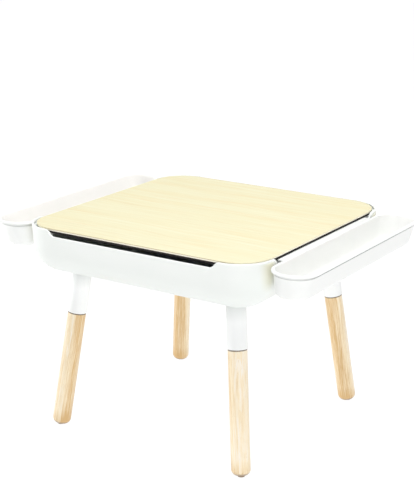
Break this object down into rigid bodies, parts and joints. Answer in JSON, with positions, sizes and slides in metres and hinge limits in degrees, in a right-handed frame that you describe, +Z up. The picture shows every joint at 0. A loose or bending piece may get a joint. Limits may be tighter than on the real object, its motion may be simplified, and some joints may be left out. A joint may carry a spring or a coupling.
{
  "type": "kids storage table",
  "caption": "Low square table for children: a white tub on splayed wooden legs, closed by a lift-off wooden lid, with a storage tray hooked over each side.",
  "frame": {"origin": "on the floor, at the middle of the table", "axes": "+Z up, +X towards the right tray, +Y towards the back; the trays hang on the -X and +X sides"},
  "size_m": [0.792, 0.5878, 0.466],
  "materials": {
    "tub_plastic": "white moulded plastic, semi-gloss",
    "tray_plastic": "white moulded plastic, semi-gloss",
    "socket_plastic": "white moulded plastic, semi-gloss",
    "lid_veneer": "pale wood veneer, satin lacquer",
    "lid_board": "fibreboard",
    "lid_edging": "pale wood lipping, satin",
    "lid_backing": "dark board, matt",
    "leg_wood": "turned beech, satin lacquer",
    "glide": "tan hard plastic, matt",
    "steel": "zinc plated",
    "screw_steel": "zinc plated",
    "brass": "plain machined"
  },
  "bodies": {
    "table": {"tub": "tub_plastic", "front_left_socket": "socket_plastic", "front_right_socket": "socket_plastic", "back_left_socket": "socket_plastic", "back_right_socket": "socket_plastic", "front_left_leg": "leg_wood", "front_right_leg": "leg_wood", "back_left_leg": "leg_wood", "back_right_leg": "leg_wood", "front_left_glide": "glide", "front_right_glide": "glide", "back_left_glide": "glide", "back_right_glide": "glide", "front_left_hanger_bolt": "steel", "front_right_hanger_bolt": "steel", "back_left_hanger_bolt": "steel", "back_right_hanger_bolt": "steel", "front_left_threaded_insert": "brass", "front_right_threaded_insert": "brass", "back_left_threaded_insert": "brass", "back_right_threaded_insert": "brass", "front_left_socket_screws": "screw_steel", "front_right_socket_screws": "screw_steel", "back_left_socket_screws": "screw_steel", "back_right_socket_screws": "screw_steel"},
    "lid": {"lid_core": "lid_board", "lid_top_veneer": "lid_veneer", "lid_edge_band": "lid_edging", "lid_backing_board": "lid_backing"},
    "left_tray": {"left_tray": "tray_plastic"},
    "right_tray": {"right_tray": "tray_plastic"}
  },
  "joints": [
    {"name": "lid_lift", "type": "slide", "parent": "table", "child": "lid", "axis": [0, 0, 1], "range_m": [0, 0.25]},
    {"name": "left_tray_lift", "type": "slide", "parent": "table", "child": "left_tray", "axis": [0, 0, 1], "range_m": [0, 0.12]},
    {"name": "right_tray_lift", "type": "slide", "parent": "table", "child": "right_tray", "axis": [0, 0, 1], "range_m": [0, 0.12]}
  ]
}
